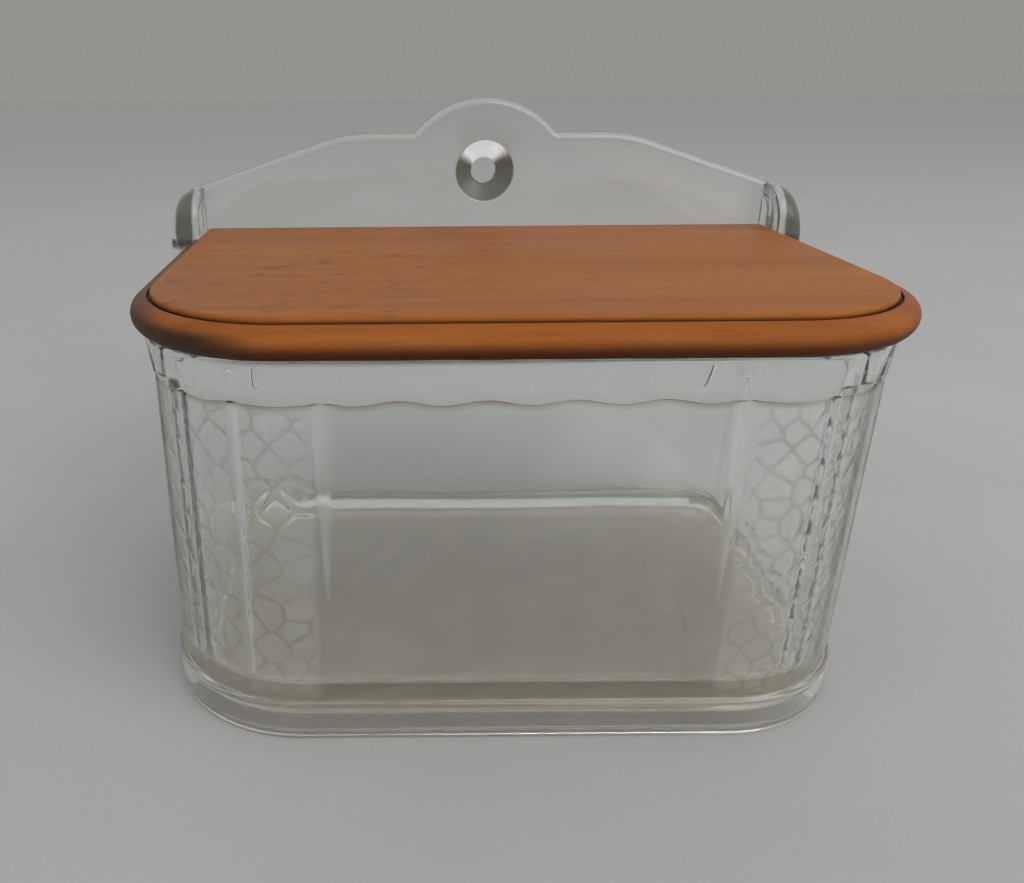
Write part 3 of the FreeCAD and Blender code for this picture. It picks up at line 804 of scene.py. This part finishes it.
def varnished_wood():
    """Close-grained board under old varnish: redder on the nose, bare on the underside, darker along the left edge;
    painted shade in the quirk, and under the nose partly a darker finish, partly painted shade.
    """
    wood = Recipe("varnished_wood", IOR=1.46, Specular_IOR_Level=0.1)
    grain = wood.noise((7.0, 95.0, 95.0), 5.0, 0.6, 0.5)
    fibre = wood.noise((40.0, 900.0, 900.0), 3.0, 0.6)
    flecks = wood.noise((150.0, 620.0, 620.0), 2.0, 0.5)
    cloud = wood.noise((14.0, 22.0, 22.0), 3.0, 0.55)
    stain = wood.noise((130.0, 190.0, 190.0), 4.0, 0.6)
    panel = wood.mix(wood.spread(grain, 0.32, 0.7), (0.256, 0.078, 0.012), (0.362, 0.121, 0.021))
    panel = wood.mix(wood.spread(fibre, 0.5, 0.75, 0.0, 0.3), panel, (0.19, 0.059, 0.011))
    panel = wood.mix(wood.spread(flecks, 0.60, 0.73, 0.0, 0.55), panel, (0.15, 0.049, 0.011))
    panel = wood.mix(wood.spread(cloud, 0.42, 0.68, 0.0, 0.42), panel, (0.38, 0.138, 0.026))
    nose = wood.mix(wood.spread(grain, 0.3, 0.7), (0.230, 0.063, 0.011), (0.33, 0.107, 0.023))
    nose = wood.mix(wood.spread(fibre, 0.45, 0.75, 0.0, 0.35), nose, (0.18, 0.047, 0.010))
    colour = wood.mix(wood.mask("nose"), panel, nose)
    specks = wood.maths("MULTIPLY", wood.spread(stain, 0.56, 0.72, 0.0, 0.65), wood.mask("specks"))
    colour = wood.mix(specks, colour, (0.135, 0.047, 0.014))
    colour = wood.mix(wood.mask("ring_stain"), colour, (0.255, 0.072, 0.010))
    # Under the nose: partly a darker finish, partly painted shade where the bead turns down.
    colour = wood.mix(wood.mask("under_nose_finish_and_shade"), colour, (0.075, 0.022, 0.006))
    # Darker along the lid's left edge.
    marked_zone = wood.maths("MULTIPLY", wood.mask("dark_left_edge"), wood.spread(stain, 0.25, 0.6, 0.8, 1.0))
    colour = wood.mix(marked_zone, colour, (0.045, 0.024, 0.014))
    raw = wood.mix(wood.spread(grain, 0.3, 0.7), (0.30, 0.155, 0.072), (0.42, 0.235, 0.115))
    colour = wood.mix(wood.mask("underside"), colour, raw)
    # Painted shade: near-black in the quirk.
    colour = wood.mix(wood.mask("quirk_shade"), colour, (0.035, 0.012, 0.005))
    bump = wood.add("ShaderNodeBump")
    bump.inputs["Strength"].default_value = 0.25
    bump.inputs["Distance"].default_value = 0.0002
    pores = wood.maths("ADD", wood.maths("MULTIPLY", flecks, 0.35), wood.maths("MULTIPLY", fibre, 0.6))
    wood.feed(bump.inputs["Height"], pores)
    wood.shade(Base_Color=colour, Roughness=wood.spread(cloud, 0.3, 0.7, 0.38, 0.54), Normal=bump.outputs["Normal"])
    return wood.material


def worn_steel():
    """Dull drawn wire with brown rust in its lines."""
    steel = Recipe("worn_steel", Metallic=1.0)
    lines = steel.noise((60.0, 900.0, 900.0), 4.0, 0.5)
    colour = steel.mix(lines, (0.045, 0.024, 0.012), (0.15, 0.095, 0.060))
    steel.shade(Base_Color=colour, Roughness=steel.spread(lines, 0.0, 1.0, 0.28, 0.6))
    return steel.material


def pale_cloth():
    """Pale floor, with painted shade: a little greyer towards the back."""
    cloth = Recipe("pale_floor", Roughness=0.9)
    mottle = cloth.noise((9.0, 9.0, 9.0), 4.0, 0.5)
    colour = cloth.mix(mottle, (0.40, 0.398, 0.392), (0.47, 0.468, 0.460))
    split = cloth.add("ShaderNodeSeparateXYZ")
    cloth.feed(split.inputs["Vector"], cloth.place)
    # Painted shade: the floor greys towards the back.
    colour = cloth.mix(cloth.spread(split.outputs["Y"], 0.1, 1.3, 0.0, 0.8), colour, (0.378, 0.370, 0.352))
    cloth.shade(Base_Color=colour)
    return cloth.material


# Stage, room light and camera

FLOOR_DROP = -0.0002


def stage():
    """Plain floor and one large softbox at the right in front."""
    bm = bmesh.new()
    bmesh.ops.create_grid(bm, x_segments=8, y_segments=8, size=4.0, matrix=Matrix.Translation((0.0, 0.0, FLOOR_DROP)))
    floor = as_object("floor", bm)
    floor.data.materials.append(pale_cloth())
    data = bpy.data.lights.new("key_softbox", "AREA")
    data.shape = "RECTANGLE"
    data.size, data.size_y = 1.8, 1.5
    data.energy = 18.0
    data.color = (1.0, 0.985, 0.965)
    lamp = bpy.data.objects.new("key_softbox", data)
    lamp.location = (0.95, -1.15, 1.25)
    lamp.rotation_euler = (Vector((0.0, 0.0, 0.06)) - lamp.location).to_track_quat("-Z", "Y").to_euler()
    bpy.context.scene.collection.objects.link(lamp)


def studio_world():
    """Soft room light: lighter upwards behind, dim in front, and an even glow on matt surfaces."""
    world = bpy.data.worlds.new("studio")
    bpy.context.scene.world = world
    world.use_nodes = True
    tree = world.node_tree
    tree.nodes.clear()
    link = tree.links.new
    split = tree.nodes.new("ShaderNodeSeparateXYZ")
    link(tree.nodes.new("ShaderNodeTexCoord").outputs["Generated"], split.inputs["Vector"])

    def by_height(*stops):
        tone = tree.nodes.new("ShaderNodeValToRGB")
        marks = tone.color_ramp.elements
        for _ in stops[2:]:
            marks.new(0.5)
        for mark, (height, colour) in zip(marks, stops):
            mark.position = height
            mark.color = colour + (1.0,)
        link(split.outputs["Z"], tone.inputs["Fac"])
        return tone.outputs["Color"]

    def choose(factor, under, over):
        step = tree.nodes.new("ShaderNodeMix")
        step.data_type = "RGBA"
        link(factor, step.inputs["Factor"])
        link(under, step.inputs["A"])
        link(over, step.inputs["B"])
        return step.outputs["Result"]

    behind = by_height((0.0, (0.300, 0.294, 0.282)), (0.055, (0.300, 0.292, 0.276)), (0.14, (0.74, 0.74, 0.73)),
                       (0.30, (0.58, 0.59, 0.60)), (1.0, (0.62, 0.635, 0.65)))
    ahead = by_height((0.0, (0.11, 0.105, 0.09)), (0.25, (0.16, 0.155, 0.14)), (0.6, (0.45, 0.45, 0.45)),
                      (1.0, (0.62, 0.635, 0.65)))
    glow = by_height((0.0, (0.80, 0.80, 0.80)), (0.12, (1.03, 1.03, 1.03)), (0.55, (1.0, 1.0, 1.01)),
                     (0.8, (0.46, 0.465, 0.475)), (1.0, (0.30, 0.305, 0.315)))
    facing = tree.nodes.new("ShaderNodeMapRange")
    for key, value in (("From Min", 0.15), ("From Max", -0.35)):
        facing.inputs[key].default_value = value
    link(split.outputs["Y"], facing.inputs["Value"])
    matt = tree.nodes.new("ShaderNodeMath")
    matt.operation = "GREATER_THAN"
    matt.inputs[1].default_value = 0.5
    link(tree.nodes.new("ShaderNodeLightPath").outputs["Diffuse Depth"], matt.inputs[0])
    sky = tree.nodes.new("ShaderNodeBackground")
    link(choose(matt.outputs["Value"], choose(facing.outputs["Result"], behind, ahead), glow), sky.inputs["Color"])
    link(sky.outputs["Background"], tree.nodes.new("ShaderNodeOutputWorld").inputs["Surface"])


def camera():
    """Camera from the photo's fit: focal length, place, downward pitch, slight roll and the frame's shift."""
    data = bpy.data.cameras.new("camera")
    data.sensor_width = 36.0
    data.lens = 36.0 * 900.0 / 1024.0
    data.shift_x = (512.0 - 385.3) / 1024.0
    data.shift_y = (440.8 - 441.5) / 1024.0
    data.clip_start, data.clip_end = 0.01, 20.0
    eye = bpy.data.objects.new("camera", data)
    turn = Euler((math.radians(90 - 22.84), 0, 0)).to_matrix() @ Matrix.Rotation(math.radians(-0.47), 3, "Z")
    eye.matrix_world = Matrix.Translation((-0.0305, -0.2264, 0.1486)) @ turn.to_4x4()
    bpy.context.scene.collection.objects.link(eye)
    bpy.context.scene.camera = eye


camera()
stage()
studio_world()
glass_pot(pressed_glass())
wooden_lid(varnished_wood())
steel = worn_steel()
for node in ("hinge_pin_left", "hinge_pin_right"):
    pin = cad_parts[node]
    pin.data.materials.clear()
    pin.data.materials.append(steel)

bpy.context.scene.view_settings.view_transform = "Standard"
